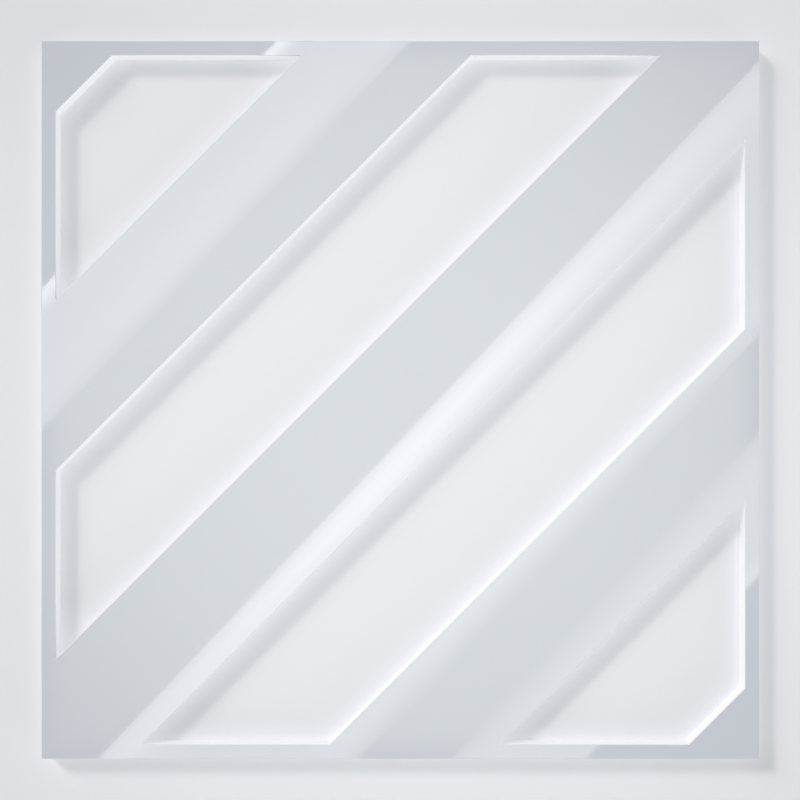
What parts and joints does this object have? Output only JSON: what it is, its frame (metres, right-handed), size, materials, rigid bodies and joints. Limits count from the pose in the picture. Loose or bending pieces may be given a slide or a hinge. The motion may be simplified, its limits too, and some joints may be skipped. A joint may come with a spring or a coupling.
{
  "type": "acrylic wall panel",
  "caption": "Square one-piece acrylic wall panel: polished border and diagonal bands standing above blind matte recesses. Bonds by its flat back to a wall as decorative cladding.",
  "frame": {"origin": "centre of the flat back face, on which the panel lies", "axes": "+Z out of the back towards the polished face; +X and +Y along the sides, to the right and up as the panel hangs; the bands run along the X = Y diagonal"},
  "size_m": [0.6, 0.6, 0.015],
  "materials": {
    "acrylic": "pale grey-white acrylic, mirror polished on its face, fine matte in the recesses"
  },
  "bodies": {
    "root": {"panel": "acrylic"}
  },
  "joints": []
}
